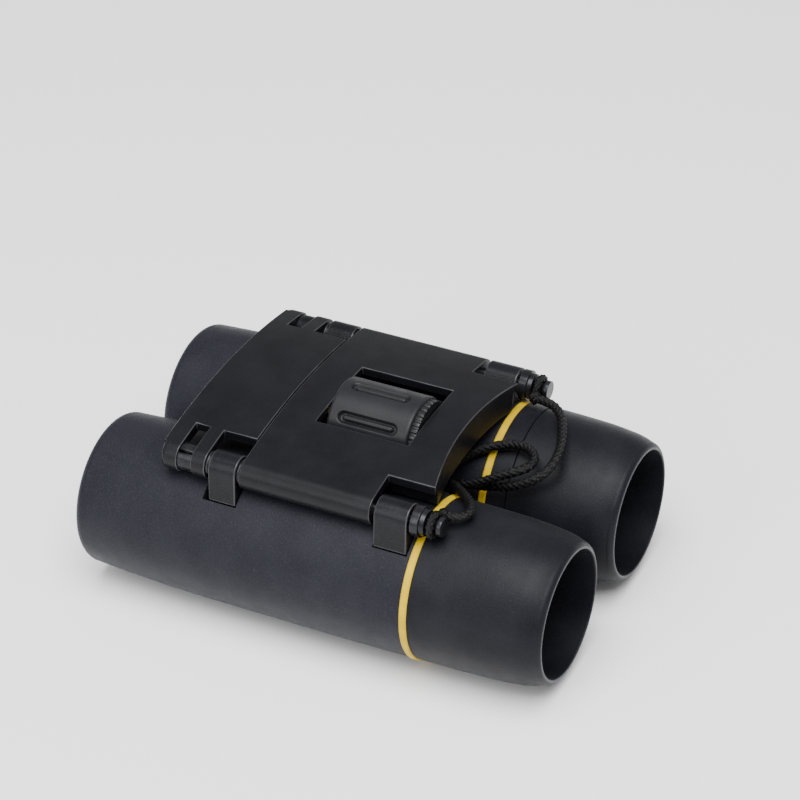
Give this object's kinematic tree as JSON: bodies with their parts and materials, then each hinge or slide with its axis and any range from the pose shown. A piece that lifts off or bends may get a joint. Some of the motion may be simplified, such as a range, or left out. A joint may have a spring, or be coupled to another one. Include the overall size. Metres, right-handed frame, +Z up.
{
  "type": "binoculars",
  "caption": "Compact folding roof-prism binoculars with rubber-armoured barrels hinged to a split bridge, a central focus wheel, a dioptre ring, yellow trim rings and a braided neck cord.",
  "frame": {"origin": "middle of the object's box without its cord, on the surface that the two barrels lie on", "axes": "+X to the user's right, +Y from the eyepieces to the objectives along the barrels, +Z up out of the bridge"},
  "size_m": [0.0984, 0.1077, 0.043],
  "materials": {
    "bridge_plastic": "smooth satin moulding",
    "black_screw": "blackened",
    "pin_steel": "turned and darkened",
    "black_metal": "satin black",
    "nut_brass": "turned",
    "wheel_plastic": "moulded",
    "grip_rubber": "matte",
    "soft_touch": "soft-touch, matte with a fine grain",
    "trim_yellow": "satin golden yellow",
    "barrel_alloy": "black anodised",
    "cell_plastic": "flat black",
    "optical_glass": "polished",
    "coated_glass": "polished, blue coating",
    "cord_fabric": "fine braid",
    "tie_plastic": "soft strap"
  },
  "bodies": {
    "bridge": {"rear_bridge": "bridge_plastic", "bridge_cover": "bridge_plastic", "bridge_cover_screws": "black_screw", "left_hinge_pin": "pin_steel", "right_hinge_pin": "pin_steel", "left_strap_eye": "black_metal", "right_strap_eye": "black_metal", "left_cord_noose": "cord_fabric", "right_cord_noose": "cord_fabric", "cord_right_run": "cord_fabric", "cord_left_run": "cord_fabric", "cord_hank": "cord_fabric", "cord_hank_tie": "tie_plastic"},
    "front_bridge": {"front_bridge": "bridge_plastic", "focus_nut": "nut_brass", "left_lug_bush": "pin_steel", "right_lug_bush": "pin_steel", "left_friction_clip": "pin_steel", "right_friction_clip": "pin_steel"},
    "focus_wheel": {"focus_wheel_hub": "wheel_plastic", "focus_wheel_grip": "grip_rubber", "focus_screw": "pin_steel"},
    "left_barrel": {"left_armour": "soft_touch", "left_barrel_tube": "barrel_alloy", "left_eyecup": "soft_touch", "left_trim_ring": "trim_yellow", "left_ocular_cell": "cell_plastic", "left_eye_lens": "optical_glass", "left_field_lens": "optical_glass", "left_prism_housing": "cell_plastic", "left_roof_prisms": "optical_glass", "left_front_baffle": "cell_plastic", "left_rear_lug": "black_metal", "left_rear_lug_screws": "black_screw"},
    "left_objective": {"left_front_lug": "black_metal", "left_front_lug_screws": "black_screw", "left_objective_cell": "cell_plastic", "left_objective_lens": "coated_glass", "left_lens_ring": "cell_plastic"},
    "right_barrel": {"right_armour": "soft_touch", "right_barrel_tube": "barrel_alloy", "right_eyepiece_collar": "soft_touch", "right_trim_ring": "trim_yellow", "right_prism_housing": "cell_plastic", "right_roof_prisms": "optical_glass", "right_front_baffle": "cell_plastic", "right_rear_lug": "black_metal", "right_rear_lug_screws": "black_screw"},
    "right_objective": {"right_front_lug": "black_metal", "right_front_lug_screws": "black_screw", "right_objective_cell": "cell_plastic", "right_objective_lens": "coated_glass", "right_lens_ring": "cell_plastic"},
    "dioptre_ring": {"right_eyecup": "soft_touch"},
    "right_ocular": {"right_ocular_cell": "cell_plastic", "right_eye_lens": "optical_glass", "right_field_lens": "optical_glass", "right_dioptre_pin": "pin_steel"}
  },
  "joints": [
    {"name": "left_hinge", "type": "hinge", "parent": "bridge", "child": "left_barrel", "pos_m": [-0.0244, 0, 0.0349], "axis": [0, 1, 0], "range_deg": [0, 50]},
    {"name": "right_hinge", "type": "hinge", "parent": "bridge", "child": "right_barrel", "pos_m": [0.0244, 0, 0.0349], "axis": [0, -1, 0], "range_deg": [0, 50]},
    {"name": "focus_wheel_turn", "type": "hinge", "parent": "bridge", "child": "focus_wheel", "pos_m": [0, 0, 0.03465], "axis": [0, 1, 0], "range_deg": [0, 270]},
    {"name": "front_bridge_slide", "type": "slide", "parent": "bridge", "child": "front_bridge", "axis": [0, 1, 0], "range_m": [0, 0.0012]},
    {"name": "left_objective_slide", "type": "slide", "parent": "left_barrel", "child": "left_objective", "axis": [0, 1, 0], "range_m": [0, 0.0012]},
    {"name": "right_objective_slide", "type": "slide", "parent": "right_barrel", "child": "right_objective", "axis": [0, 1, 0], "range_m": [0, 0.0012]},
    {"name": "dioptre_turn", "type": "hinge", "parent": "right_barrel", "child": "dioptre_ring", "pos_m": [0.01735, 0, 0.0164], "axis": [0, 1, 0], "range_deg": [-60, 60]},
    {"name": "right_ocular_slide", "type": "slide", "parent": "right_barrel", "child": "right_ocular", "axis": [0, 1, 0], "range_m": [-0.0008, 0.0008]}
  ],
  "couplings": [
    {"joint": "focus_wheel_turn", "follows": "front_bridge_slide", "rad_per_m": 3927},
    {"joint": "left_objective_slide", "follows": "front_bridge_slide", "ratio": 1},
    {"joint": "right_objective_slide", "follows": "front_bridge_slide", "ratio": 1},
    {"joint": "dioptre_turn", "follows": "right_ocular_slide", "rad_per_m": 1309}
  ]
}
